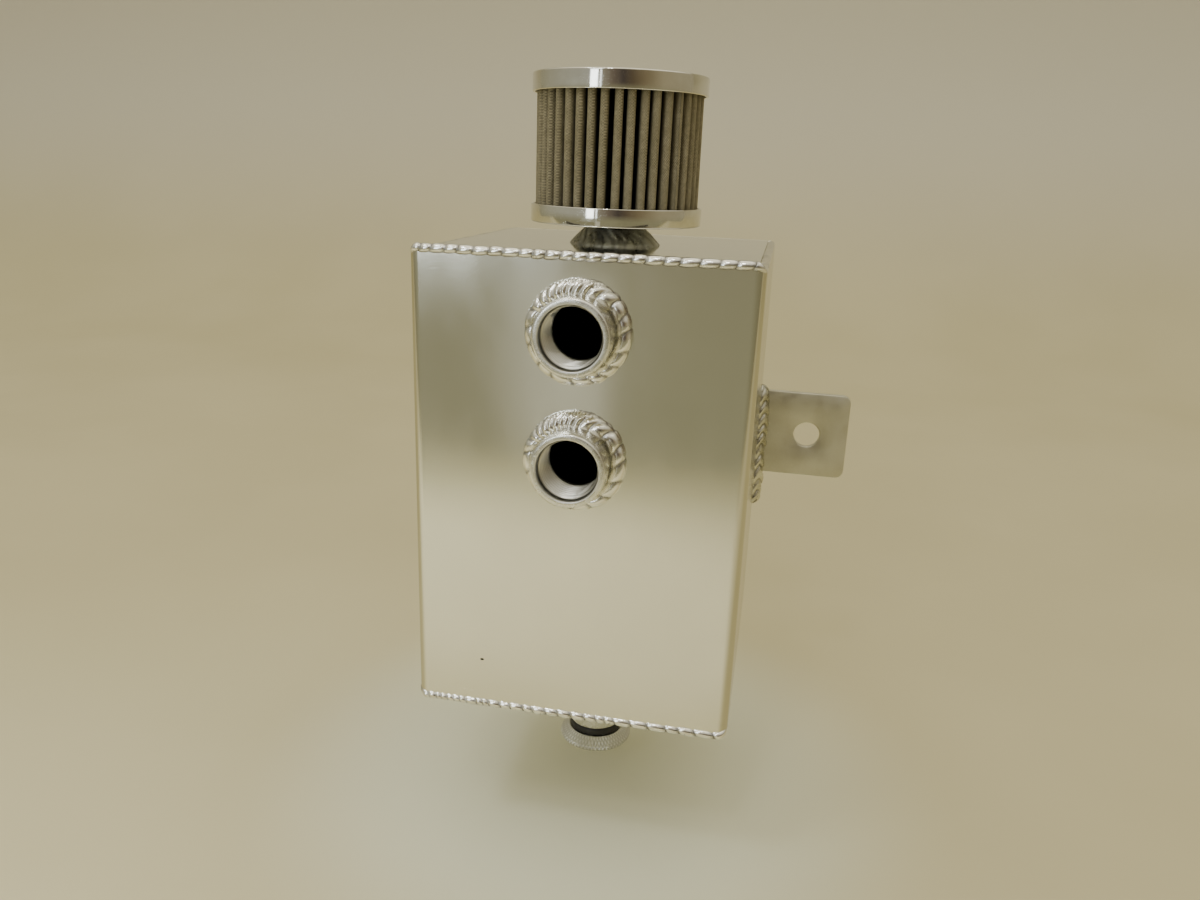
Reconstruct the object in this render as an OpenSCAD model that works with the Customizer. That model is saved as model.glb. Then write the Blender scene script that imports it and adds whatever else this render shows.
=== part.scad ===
// Welded aluminium fluid reservoir with two threaded ports, a screw-in breather filter,
// a knurled drain plug and two mounting tabs.
// Origin: centre of the rear mounting face. +X right, +Y out of the rear face, +Z up.
// All lengths are in millimetres.

/* [Tank] */
// Outside width of the square tube
tank_w = 100; // [90:1:120]
// Outside depth of the square tube
tank_d = 100; // [90:1:120]
// Height over both end plates
tank_h = 142; // [130:1:180]
// Wall thickness of the tube and of the end plates
wall = 3; // [2.6:0.1:4]
// Outside radius of the tube's vertical corners
corner_r = 3.2; // [3:0.1:4]
// Leg of the seam welds round the end plates
seam_leg = 2.5; // [2:0.1:2.5]

/* [Ports] */
// Depth of the upper port below the tank's top
upper_port_drop = 20.3; // [18:0.1:24]
// Distance between the two port axes
port_spacing = 37.4; // [36:0.1:42]
// Outside diameter of a port bung
port_od = 21.8; // [21:0.1:24]
// Wall diameter of the threaded port bore
port_bore_d = 16.4; // [15:0.1:17]
// Distance a port bung stands out of the front wall
port_reach = 11; // [9:0.5:15]
// Leg of the fillet weld round a port bung
port_weld_leg = 4.3; // [3:0.1:4.6]

/* [Breather] */
// Outside diameter of the filter's end caps
filter_d = 54; // [50:1:60]
// Height of the filter over both end caps
filter_h = 43.7; // [38:0.1:55]
// Height of an end cap's rim
cap_rim_h = 5.5; // [4:0.1:7]
// Number of pleats in the filter element
pleats = 40; // [30:1:44]
// Outside diameter of the bung that holds the filter
breather_bung_d = 18; // [17:0.5:20]
// Height of that bung above the tank's top
breather_bung_reach = 5.2; // [5:0.1:8]
// Thread diameter of the filter's hollow stem
stem_d = 12; // [11:0.5:13]

/* [Drain] */
// Outside diameter of the drain neck
neck_d = 19; // [18:0.5:22]
// Length of the drain neck below the tank
neck_reach = 32.1; // [20:0.1:40]
// Thread diameter of the drain plug
plug_thread_d = 14; // [12:0.5:14]
// Diameter of the drain plug's knurled head
knob_d = 26.4; // [24:0.1:30]
// Thickness of the knurled head
knob_h = 3.6; // [3:0.1:8]
// Thickness of the seal between the neck and the head
seal_h = 3.4; // [2:0.1:4]

/* [Mounting tabs] */
// Length of a tab beyond the side wall
tab_reach = 33; // [28:0.5:45]
// Height of a tab
tab_h = 32; // [28:0.5:40]
// Thickness of a tab
tab_t = 3; // [2.5:0.1:3]
// Distance of a tab hole from the side wall
tab_hole_out = 18; // [14:0.5:20]
// Diameter of a tab hole
tab_hole_d = 9.6; // [8:0.1:11]

/* [Hidden] */

$fn = 96;
fit = 0.05;                // radial clearance of a threaded fit
overrun = 1;               // how far a cutting solid runs past a face
edge = 0.5;                // small machined chamfer

top_z = tank_h / 2;
bottom_z = -tank_h / 2;
axis_y = -tank_d / 2;      // the breather and the drain stand on the tank's middle
upper_port_z = top_z - upper_port_drop;
lower_port_z = upper_port_z - port_spacing;

port_mouth_flare = 0.8;    // 45 degree flare where the port's thread starts

breather_bung_top = top_z + breather_bung_reach;
washer_h = 1.3;
washer_d = breather_bung_d - 0.4;
screw_clearance = 0.3;     // radial gap between a seal and the screw through it
filter_z = breather_bung_top + washer_h;
cap_sheet = 1;
cap_wall = 0.8;
stem_bore_r = stem_d / 2 - 2;
stem_engagement = 7.5;
stem_flange_r = 9;
stem_flange_h = 1.5;
potting_h = 2;
core_r = 16;
core_wall = 0.8;
core_hole_d = 5;
core_hole_rows = 4;
core_holes_per_row = 8;
core_cutter_l = 6;
pleat_out_r = filter_d / 2 - 1.2;
pleat_in_r = 17.4;
media_t = 0.8;
pleat_pitch = 360 / pleats;
pleat_tip_share = 0.20;    // half width of an outer fold, as a share of the pitch
pleat_root_share = 0.30;   // half width of an inner fold, as a share of the pitch

neck_end = bottom_z - neck_reach;
knob_top = neck_end - seal_h;
knob_shoulder = 2.2;       // chamfer of the head's upper edge
plug_thread_l = 12;
plug_tip_chamfer = 1;
seal_bulge_r = 0.9;        // radius of the seal's outer edges
neck_weld_leg = 4;
breather_weld_leg = 4.8;

tab_corner_r = 3;
tab_root = 1.5;            // how far the tab's root reaches round the tank's corner
tab_weld_leg = 2.6;
tab_weld_top = tab_h / 2 + 2;       // the weld runs a little past the tab's top
tab_weld_bottom = -tab_h / 2 - 13;  // and well past its bottom

baffle_z = lower_port_z - 22.3;
baffle_t = 2;
baffle_gap = 0.3;
baffle_slots = 4;
baffle_slot_w = 11;
baffle_slot_l = 66;
baffle_slot_pitch = 20;
tack_r = 3.5;

aluminium = [0.80, 0.80, 0.76];
bead_metal = [0.88, 0.87, 0.80];
tab_metal = [0.62, 0.60, 0.50];
mesh_tan = [0.50, 0.45, 0.32];

// A rectangle with round corners, centred on the origin
module round_rect(w, d, r) {
    square([w - 2 * r, d], center = true);
    square([w, d - 2 * r], center = true);
    for (sx = [-1, 1], sy = [-1, 1])
        translate([sx * (w / 2 - r), sy * (d / 2 - r)]) circle(r);
}

// Puts children on the tank's vertical axis at height z
module on_axis(z) {
    translate([0, axis_y, z]) children();
}

// Turns children so that their +Z points out of the front wall at height z
module on_front(z) {
    translate([0, -tank_d, z]) rotate([90, 0, 0]) children();
}

// A quarter disc in the corner between two faces, the section of a fillet weld
module fillet_section(leg) {
    intersection() {
        circle(leg);
        square(leg);
    }
}

// A fillet weld round a tube of the given radius, standing on the XY plane
module fillet_ring(r, leg) {
    rotate_extrude() translate([r, 0]) fillet_section(leg);
}

// A cylinder that cuts a hole through a wall whose outer face is the XY plane
module through_cut(d) {
    translate([0, 0, -wall - overrun]) cylinder(h = wall + 2 * overrun, d = d);
}

// ---- tank weldment ----

module tank_body() {
    color(aluminium) difference() {
        on_axis(bottom_z + wall)
            linear_extrude(tank_h - 2 * wall) round_rect(tank_w, tank_d, corner_r);
        on_axis(bottom_z)
            linear_extrude(tank_h)
                square([tank_w - 2 * wall, tank_d - 2 * wall], center = true);
        for (z = [upper_port_z, lower_port_z])
            on_front(z) through_cut(port_od);
    }
}

module end_plate(hole_d) {
    difference() {
        linear_extrude(wall)
            round_rect(tank_w - 2 * seam_leg, tank_d - 2 * seam_leg, corner_r - seam_leg);
        translate([0, 0, wall]) through_cut(hole_d);
    }
}

module top_plate() {
    color(aluminium) on_axis(top_z - wall) end_plate(breather_bung_d);
}

module bottom_plate() {
    color(aluminium) on_axis(bottom_z) end_plate(neck_d);
}

// Section of the seam weld: it fills the step between the tube's end and the plate's edge
module seam_section() {
    translate([corner_r - seam_leg, 0]) {
        square([seam_leg, wall - seam_leg]);
        translate([0, wall - seam_leg]) fillet_section(seam_leg);
    }
}

// The seam weld all round an end plate, standing on the tube's end
module seam_weld() {
    for (side = [0:3]) {
        out = side % 2 == 0 ? tank_w / 2 : tank_d / 2;
        along = side % 2 == 0 ? tank_d / 2 : tank_w / 2;
        rotate([0, 0, 90 * side]) translate([out - corner_r, along - corner_r, 0]) {
            rotate([90, 0, 0]) linear_extrude(2 * (along - corner_r)) seam_section();
            rotate_extrude(angle = 90) seam_section();
        }
    }
}

module top_seam_weld() {
    color(bead_metal) on_axis(top_z - wall) seam_weld();
}

module bottom_seam_weld() {
    color(bead_metal) on_axis(bottom_z + wall) mirror([0, 0, 1]) seam_weld();
}

module port_bung(z) {
    outer = port_od / 2;
    bore = port_bore_d / 2;
    color(aluminium) on_front(z) rotate_extrude() polygon([
        [bore, -wall],
        [outer, -wall],
        [outer, port_reach - edge],
        [outer - edge, port_reach],
        [bore + port_mouth_flare, port_reach],
        [bore, port_reach - port_mouth_flare]
    ]);
}

module port_weld(z) {
    color(bead_metal) on_front(z) fillet_ring(port_od / 2, port_weld_leg);
}

module upper_port_bung() { port_bung(upper_port_z); }
module lower_port_bung() { port_bung(lower_port_z); }
module upper_port_weld() { port_weld(upper_port_z); }
module lower_port_weld() { port_weld(lower_port_z); }

// A straight tube from the inside of an end plate outwards, along +Z
module welded_tube(outer_d, bore_d, reach) {
    difference() {
        translate([0, 0, -wall]) cylinder(h = reach + wall, d = outer_d);
        translate([0, 0, -wall - overrun])
            cylinder(h = reach + wall + 2 * overrun, d = bore_d);
    }
}

module breather_bung() {
    color(aluminium) on_axis(top_z)
        welded_tube(breather_bung_d, stem_d + 2 * fit, breather_bung_reach);
}

module breather_bung_weld() {
    color(bead_metal) on_axis(top_z) fillet_ring(breather_bung_d / 2, breather_weld_leg);
}

module drain_neck() {
    color(aluminium) on_axis(bottom_z) mirror([0, 0, 1])
        welded_tube(neck_d, plug_thread_d + 2 * fit, neck_reach);
}

module drain_neck_weld() {
    color(bead_metal) on_axis(bottom_z) mirror([0, 0, 1])
        fillet_ring(neck_d / 2, neck_weld_leg);
}

// Outline of the right tab seen from the rear face, x out from the tank's middle
module tab_outline() {
    root_x = tank_w / 2 - tab_root;
    tip_x = tank_w / 2 + tab_reach;
    difference() {
        union() {
            translate([root_x, -tab_h / 2]) square([tip_x - tab_corner_r - root_x, tab_h]);
            translate([root_x, -tab_h / 2 + tab_corner_r])
                square([tip_x - root_x, tab_h - 2 * tab_corner_r]);
            for (side = [-1, 1])
                translate([tip_x - tab_corner_r, side * (tab_h / 2 - tab_corner_r)])
                    circle(tab_corner_r);
        }
        translate([tank_w / 2 + tab_hole_out, 0]) circle(d = tab_hole_d);
    }
}

// The tab lies flush with the rear face, and its root is coped to the tank's round corner
module mounting_tab() {
    difference() {
        rotate([90, 0, 0]) linear_extrude(tab_t) tab_outline();
        translate([tank_w / 2 - corner_r, -corner_r, -tab_h]) cylinder(h = 2 * tab_h, r = corner_r);
    }
}

module right_mounting_tab() {
    color(tab_metal) mounting_tab();
}

module left_mounting_tab() {
    color(tab_metal) mirror([1, 0, 0]) mounting_tab();
}

// Fillet weld between the side wall and the tab's front, with round ends
module tab_weld() {
    low = tab_weld_bottom + tab_weld_leg;
    high = tab_weld_top - tab_weld_leg;
    translate([tank_w / 2, -tab_t, 0]) intersection() {
        union() {
            translate([0, 0, low]) cylinder(h = high - low, r = tab_weld_leg);
            for (z = [low, high]) translate([0, 0, z]) sphere(tab_weld_leg);
        }
        translate([0, -tab_weld_leg, tab_weld_bottom])
            cube([tab_weld_leg, tab_weld_leg, tab_weld_top - tab_weld_bottom]);
    }
}

module right_tab_weld() {
    color(bead_metal) tab_weld();
}

module left_tab_weld() {
    color(bead_metal) mirror([1, 0, 0]) tab_weld();
}

// ---- inside the tank ----

// A plate with slots that run from front to back
module splash_baffle() {
    size = [tank_w - 2 * (wall + baffle_gap), tank_d - 2 * (wall + baffle_gap)];
    straight = baffle_slot_l - baffle_slot_w;
    color(aluminium) on_axis(baffle_z) linear_extrude(baffle_t) difference() {
        square(size, center = true);
        for (i = [0:baffle_slots - 1])
            translate([(i - (baffle_slots - 1) / 2) * baffle_slot_pitch, 0]) {
                square([baffle_slot_w, straight], center = true);
                for (side = [-1, 1])
                    translate([0, side * straight / 2]) circle(d = baffle_slot_w);
            }
    }
}

// One tack under the middle of each edge of the baffle
module baffle_tack_welds() {
    color(bead_metal) on_axis(baffle_z) for (side = [0:3]) {
        out = (side % 2 == 0 ? tank_w : tank_d) / 2 - wall;
        rotate([0, 0, 90 * side]) translate([out, 0, 0]) intersection() {
            sphere(tack_r);
            translate([-tack_r, -tack_r, -tack_r]) cube([tack_r, 2 * tack_r, tack_r]);
        }
    }
}

// ---- breather filter ----

module breather_washer() {
    color("dimgray") on_axis(breather_bung_top) difference() {
        cylinder(h = washer_h, d = washer_d);
        translate([0, 0, -overrun])
            cylinder(h = washer_h + 2 * overrun, r = stem_d / 2 + screw_clearance);
    }
}

module filter_stem() {
    outer = stem_d / 2;
    foot = -washer_h - stem_engagement;
    color("silver") on_axis(filter_z) rotate_extrude() polygon([
        [stem_bore_r, foot],
        [outer - edge, foot],
        [outer, foot + edge],
        [outer, cap_sheet],
        [stem_flange_r, cap_sheet],
        [stem_flange_r, cap_sheet + stem_flange_h],
        [stem_bore_r, cap_sheet + stem_flange_h]
    ]);
}

// A pressed dish with its rim upwards; hole_r = 0 leaves the floor closed
module end_cap(hole_r) {
    outer = filter_d / 2;
    rotate_extrude() polygon([
        [hole_r, 0],
        [outer - edge, 0],
        [outer, edge],
        [outer, cap_rim_h],
        [outer - cap_wall, cap_rim_h],
        [outer - cap_wall, cap_sheet],
        [hole_r, cap_sheet]
    ]);
}

module filter_base_cap() {
    color("silver") on_axis(filter_z) end_cap(stem_d / 2);
}

module filter_top_cap() {
    color("silver") on_axis(filter_z + filter_h) mirror([0, 0, 1]) end_cap(0);
}

// Outline of a folded sheet: each pleat is a narrow finger with a flat fold.
// grow moves the outline outwards from the sheet's middle.
function pleat_points(grow) = [
    for (i = [0:pleats - 1], corner = [0:3])
        let (
            r = (corner == 1 || corner == 2 ? pleat_out_r - media_t / 2 : pleat_in_r) + grow,
            share = corner == 1 || corner == 2 ? pleat_tip_share : pleat_root_share,
            half = share * pleat_pitch + grow / r * 180 / PI,
            a = i * pleat_pitch + (corner < 2 ? -half : half)
        )
        [r * cos(a), r * sin(a)]
];

module filter_element() {
    color(mesh_tan) on_axis(filter_z + cap_sheet + potting_h)
        linear_extrude(filter_h - 2 * (cap_sheet + potting_h)) difference() {
            polygon(pleat_points(media_t / 2));
            polygon(pleat_points(-media_t / 2));
        }
}

module filter_core_tube() {
    height = filter_h - 2 * cap_sheet;
    color("silver") on_axis(filter_z + cap_sheet) difference() {
        cylinder(h = height, r = core_r);
        translate([0, 0, -overrun])
            cylinder(h = height + 2 * overrun, r = core_r - core_wall);
        for (row = [1:core_hole_rows], i = [0:core_holes_per_row - 1])
            rotate([0, 0, (i + row / 2) * 360 / core_holes_per_row])
                translate([core_r - core_cutter_l / 2, 0, row * height / (core_hole_rows + 1)])
                    rotate([0, 90, 0]) cylinder(h = core_cutter_l, d = core_hole_d);
    }
}

module potting_ring() {
    difference() {
        cylinder(h = potting_h, r = filter_d / 2 - cap_wall);
        translate([0, 0, -overrun]) cylinder(h = potting_h + 2 * overrun, r = core_r);
    }
}

module lower_potting_ring() {
    color("black") on_axis(filter_z + cap_sheet) potting_ring();
}

module upper_potting_ring() {
    color("black") on_axis(filter_z + filter_h - cap_sheet - potting_h) potting_ring();
}

// ---- drain ----

// A thick ring, squeezed flat between the neck and the head, with round outer edges
module drain_seal() {
    bore = plug_thread_d / 2 + screw_clearance;
    outer = neck_d / 2;
    color("black") on_axis(neck_end) mirror([0, 0, 1]) rotate_extrude() {
        translate([bore, 0]) square([outer - seal_bulge_r - bore, seal_h]);
        translate([bore, seal_bulge_r]) square([outer - bore, seal_h - 2 * seal_bulge_r]);
        for (z = [seal_bulge_r, seal_h - seal_bulge_r])
            translate([outer - seal_bulge_r, z]) circle(seal_bulge_r);
    }
}

module drain_plug() {
    head = knob_d / 2;
    thread = plug_thread_d / 2;
    tip = seal_h + plug_thread_l;
    color("silver") on_axis(knob_top) rotate_extrude() polygon([
        [0, -knob_h],
        [head - edge, -knob_h],
        [head, edge - knob_h],
        [head, -knob_shoulder],
        [head - knob_shoulder, 0],
        [thread, 0],
        [thread, tip - plug_tip_chamfer],
        [thread - plug_tip_chamfer, tip],
        [0, tip]
    ]);
}

tank_body();
top_plate();
bottom_plate();
top_seam_weld();
bottom_seam_weld();
upper_port_bung();
lower_port_bung();
upper_port_weld();
lower_port_weld();
breather_bung();
breather_bung_weld();
drain_neck();
drain_neck_weld();
left_mounting_tab();
right_mounting_tab();
left_tab_weld();
right_tab_weld();
splash_baffle();
baffle_tack_welds();
breather_washer();
filter_stem();
filter_base_cap();
filter_top_cap();
filter_element();
filter_core_tube();
lower_potting_ring();
upper_potting_ring();
drain_seal();
drain_plug();
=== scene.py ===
"""Looks of a welded aluminium fluid reservoir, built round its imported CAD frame.

Front is -Y, up is +Z. Sizes are in millimetres in this script and metres in the scene.
Positions and outer sizes come from the CAD nodes' boxes.
"""

import math
import random
from bisect import bisect_right

import bmesh
import bpy
from mathutils import Matrix, Quaternion, Vector


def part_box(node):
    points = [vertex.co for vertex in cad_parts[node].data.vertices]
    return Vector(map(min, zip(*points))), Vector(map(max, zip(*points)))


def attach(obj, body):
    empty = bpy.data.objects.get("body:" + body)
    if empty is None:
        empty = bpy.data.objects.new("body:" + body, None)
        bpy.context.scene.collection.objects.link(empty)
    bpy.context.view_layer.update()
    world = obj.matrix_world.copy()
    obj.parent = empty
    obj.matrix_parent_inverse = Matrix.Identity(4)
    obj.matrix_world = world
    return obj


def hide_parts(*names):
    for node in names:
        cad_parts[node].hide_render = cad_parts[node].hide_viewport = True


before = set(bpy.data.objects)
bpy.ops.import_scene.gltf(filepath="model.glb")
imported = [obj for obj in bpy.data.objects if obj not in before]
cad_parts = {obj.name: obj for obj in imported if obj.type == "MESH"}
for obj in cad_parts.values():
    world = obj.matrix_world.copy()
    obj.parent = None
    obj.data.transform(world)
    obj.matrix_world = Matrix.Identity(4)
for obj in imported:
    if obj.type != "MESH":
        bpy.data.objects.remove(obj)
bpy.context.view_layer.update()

MM = 0.001
TAU = 2 * math.pi

# ---------------------------------------------------------------- sizes from the frame


class Box:
    """The rest box of a CAD node, in millimetres."""

    def __init__(self, node):
        self.lo, self.hi = (Vector(corner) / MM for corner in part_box(node))
        self.size = self.hi - self.lo
        self.mid = (self.lo + self.hi) / 2


tank = Box("tank_body")
top_plate = Box("top_plate")
bottom_plate = Box("bottom_plate")
AXIS_Y = tank.mid.y
FRONT = tank.lo.y
SIDE = tank.hi.x
TOP = top_plate.hi.z
BOTTOM = bottom_plate.lo.z
WALL = TOP - tank.hi.z
CORNER_R = 3.2
PLUG_TRAVEL = 12.1  # the range of the record's plug_drop joint
FLOOR = Box("drain_plug").lo.z - PLUG_TRAVEL
THREAD_PITCH = 1.5
THREAD_STEP = THREAD_PITCH / 8
TANK_PIT_Z = BOTTOM + 15.2
# Colour factor for painted shade on the tank's side walls and round corners.
SIDE_SHADE = (0.70, 0.68, 0.62)

# ---------------------------------------------------------------- mesh helpers


class Shape:
    """Points and faces of one mesh piece, with a crease value for each point that sets its painted shade."""

    def __init__(self):
        self.points = []
        self.faces = []
        self.creases = []

    def grid(self, rows, wrap_rows=False, wrap_cols=False, creases=None):
        """Adds quads over rows of points; creases has the same layout."""
        first = len(self.points)
        n_rows, n_cols = len(rows), len(rows[0])
        for row in rows:
            self.points.extend(row)
        if creases is None:
            self.creases.extend([0.0] * (n_rows * n_cols))
        else:
            for row in creases:
                self.creases.extend(row)
        for i in range(n_rows if wrap_rows else n_rows - 1):
            for j in range(n_cols if wrap_cols else n_cols - 1):
                a, b = i, (i + 1) % n_rows
                c, d = j, (j + 1) % n_cols
                corners = (a * n_cols + c, b * n_cols + c, b * n_cols + d, a * n_cols + d)
                self.faces.append(tuple(first + k for k in corners))
        return first

    def cap(self, first, count, flip=False):
        """Closes a row of points with one face."""
        loop = tuple(range(first, first + count))
        self.faces.append(loop[::-1] if flip else loop)

    def build(self, name, material, body, replaced, origin=(0, 0, 0), turn=None, sharp=50):
        """Makes the object; origin is in millimetres and turn is its rotation."""
        mesh = bpy.data.meshes.new(name)
        mesh.from_pydata([tuple(MM * c for c in p) for p in self.points], [], self.faces)
        crease = mesh.attributes.new("crease", "FLOAT", "POINT")
        crease.data.foreach_set("value", self.creases)
        clean = bmesh.new()
        clean.from_mesh(mesh)
        bmesh.ops.remove_doubles(clean, verts=clean.verts, dist=MM / 1000)
        bmesh.ops.recalc_face_normals(clean, faces=clean.faces)
        clean.to_mesh(mesh)
        clean.free()
        mesh.shade_smooth()
        mesh.set_sharp_from_angle(angle=math.radians(sharp))
        mesh.materials.append(material)
        piece = bpy.data.objects.new(name, mesh)
        piece.location = Vector(origin) * MM
        if turn:
            piece.rotation_mode = "QUATERNION"
            piece.rotation_quaternion = turn
        bpy.context.scene.collection.objects.link(piece)
        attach(piece, body)
        if replaced:
            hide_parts(*replaced)
        return piece


def rounded(profile, steps=4):
    """Rounds the corners of a closed profile of (x, y, radius) corners."""
    out = []
    n = len(profile)
    for i in range(n):
        x, y, r = profile[i]
        here = Vector((x, y))
        if r <= 0:
            out.append(here)
            continue
        before = (Vector(profile[i - 1][:2]) - here).normalized()
        after = (Vector(profile[(i + 1) % n][:2]) - here).normalized()
        half = before.angle(after) / 2
        reach = r / math.tan(half)
        centre = here + (before + after).normalized() * (r / math.sin(half))
        start = here + before * reach - centre
        end = here + after * reach - centre
        sweep = start.angle_signed(end)
        for k in range(steps + 1):
            turn = Matrix.Rotation(-sweep * k / steps, 2)
            out.append(centre + turn @ start)
    return out


def lathe(shape, profile, segments=96, change=None):
    """Turns a closed profile of (r, z) points round Z; change may move each point and give it a crease value
    for painted shade.
    """
    rows, creases = [], []
    for i in range(segments):
        a = TAU * i / segments
        row, crease = [], []
        for r, z in profile:
            dr, depth = change(a, r, z) if change else (0, 0)
            row.append(((r + dr) * math.cos(a), (r + dr) * math.sin(a), z))
            crease.append(depth)
        rows.append(row)
        creases.append(crease)
    shape.grid(rows, wrap_rows=True, wrap_cols=True, creases=creases)


def saw(phase):
    """0 at whole phases, rising evenly to 1 halfway between them."""
    return 1 - abs(2 * (phase % 1) - 1)


class Ripples:
    """Seeded, uneven ripples along a weld bead of a given length."""

    def __init__(self, seed, length, pitch, closed, jitter=0.18, flat=0.7):
        rng = random.Random(seed)
        steps = []
        at = 0
        while at < length:
            step = pitch(at / length) * rng.uniform(1 - jitter, 1 + jitter)
            steps.append(step)
            at += step
        scale = length / at
        self.length = length
        self.closed = closed
        self.flat = flat
        self.starts = [0]
        for step in steps:
            self.starts.append(self.starts[-1] + step * scale)
        self.sizes = [rng.uniform(0.6, 1.15) for _ in steps]
        self.shifts = [rng.uniform(-1, 1) for _ in steps]

    def at(self, s):
        """Height of the ripple 0..1, its own size and its sideways shift at s."""
        s = s % self.length if self.closed else min(max(s, 0), self.length - 1e-6)
        k = min(bisect_right(self.starts, s) - 1, len(self.sizes) - 1)
        phase = (s - self.starts[k]) / (self.starts[k + 1] - self.starts[k])
        dome = math.sin(math.pi * phase**0.85) ** self.flat
        return dome, self.sizes[k], self.shifts[k]


# ---------------------------------------------------------------- materials


class Recipe:
    """Builds one procedural material; lengths are in millimetres of the rest pose."""

    def __init__(self, name, metallic):
        self.material = bpy.data.materials.new(name)
        self.material.use_nodes = True
        self.tree = self.material.node_tree
        self.shader = self.tree.nodes["Principled BSDF"]
        self.shader.inputs["Metallic"].default_value = metallic
        place = self.node("ShaderNodeTexCoord").outputs["Object"]
        scale = self.node("ShaderNodeVectorMath", {0: place, 1: (1 / MM,) * 3}, operation="MULTIPLY")
        self.place = scale.outputs["Vector"]
        self.normal = None

    def node(self, kind, inputs=None, **settings):
        made = self.tree.nodes.new(kind)
        for key, value in settings.items():
            setattr(made, key, value)
        for key, value in (inputs or {}).items():
            if isinstance(value, bpy.types.NodeSocket):
                self.tree.links.new(value, made.inputs[key])
            else:
                made.inputs[key].default_value = value
        return made

    def math(self, operation, a, b=0.0, clamp=False):
        return self.node("ShaderNodeMath", {0: a, 1: b}, operation=operation, use_clamp=clamp).outputs[0]

    def axes(self):
        split = self.node("ShaderNodeSeparateXYZ", {0: self.place})
        return split.outputs[0], split.outputs[1], split.outputs[2]

    def noise(self, size, detail=2.0, stretch=(1, 1, 1), rough=0.5, place=None):
        """Noise with features of about the given size."""
        scale = tuple(1 / (size * s) for s in stretch)
        moved = self.node("ShaderNodeVectorMath", {0: place or self.place, 1: scale}, operation="MULTIPLY")
        made = self.node(
            "ShaderNodeTexNoise",
            {"Vector": moved.outputs["Vector"], "Scale": 1.0, "Detail": detail, "Roughness": rough},
        )
        return made.outputs[0]

    def remap(self, value, low, high, to_low=0.0, to_high=1.0, smooth=True):
        inputs = {0: value, 1: low, 2: high, 3: to_low, 4: to_high}
        kind = "SMOOTHSTEP" if smooth else "LINEAR"
        return self.node("ShaderNodeMapRange", inputs, interpolation_type=kind, clamp=True).outputs[0]

    def mix(self, factor, a, b):
        """Mixes two colours; a plain tuple is a linear colour."""
        a, b = ((*c, 1) if isinstance(c, tuple) else c for c in (a, b))
        return self.node("ShaderNodeMix", {0: factor, 6: a, 7: b}, data_type="RGBA").outputs[2]

    def crease(self):
        return self.node("ShaderNodeAttribute", attribute_name="crease").outputs["Fac"]

    def color(self, socket):
        self.tree.links.new(socket, self.shader.inputs["Base Color"])

    def roughness(self, socket):
        self.tree.links.new(socket, self.shader.inputs["Roughness"])

    def bump(self, height, depth):
        """Adds a bump whose full height is depth millimetres."""
        inputs = {"Height": height, "Distance": depth * MM, "Strength": 1.0}
        if self.normal:
            inputs["Normal"] = self.normal
        self.normal = self.node("ShaderNodeBump", inputs).outputs["Normal"]

    def done(self):
        if self.normal:
            self.tree.links.new(self.normal, self.shader.inputs["Normal"])
        return self.material


def inside_tank(recipe):
    """1 inside the tank's cavity and 0 outside its walls."""
    x, y, z = recipe.axes()
    out_x = recipe.math("SUBTRACT", recipe.math("ABSOLUTE", x), SIDE)
    out_y = recipe.math("SUBTRACT", recipe.math("ABSOLUTE", recipe.math("SUBTRACT", y, AXIS_Y)), SIDE)
    out_z = recipe.math("SUBTRACT", recipe.math("ABSOLUTE", z), TOP)
    out = recipe.math("MAXIMUM", recipe.math("MAXIMUM", out_x, out_y), out_z)
    return recipe.remap(out, -WALL * 0.6, -WALL * 0.4, 1.0, 0.0)


def scratches(recipe, amount):
    """Sparse fine scratches in two directions, 0..amount."""
    layers = []
    for turn in (0.3, 1.2):
        rotation = (turn, turn * 0.4, turn)
        spun = recipe.node("ShaderNodeMapping", {"Vector": recipe.place, "Rotation": rotation})
        lines = recipe.noise(1.0, 1.0, (0.22, 0.22, 26), place=spun.outputs[0])
        layers.append(recipe.remap(lines, 0.69, 0.74))
    return recipe.math("MULTIPLY", recipe.math("MAXIMUM", *layers), amount)


def speck(recipe):
    """1 on a small pit low on the front wall, where the pit's shade is painted near black."""
    x, y, z = recipe.axes()
    across = recipe.math("SUBTRACT", x, tank.mid.x - tank.size.x * 0.283)
    rise = recipe.math("SUBTRACT", z, TANK_PIT_Z)
    across_sq = recipe.math("MULTIPLY", across, across)
    far = recipe.math("ADD", across_sq, recipe.math("MULTIPLY", rise, recipe.math("MULTIPLY", rise, 2.5)))
    near = recipe.remap(recipe.math("ADD", far, recipe.noise(0.5, 2)), 0.75, 1.05, 1.0, 0.0)
    on_front = recipe.math("LESS_THAN", y, FRONT + 1)
    return recipe.math("MULTIPLY", near, on_front)


def beside_front(recipe):
    """1 on the side walls and round corners, 0 on the front and rear; painted shade darkens the sides."""
    x = recipe.axes()[0]
    return recipe.remap(recipe.math("ABSOLUTE", x), SIDE - CORNER_R, SIDE - CORNER_R * 0.4)


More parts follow.
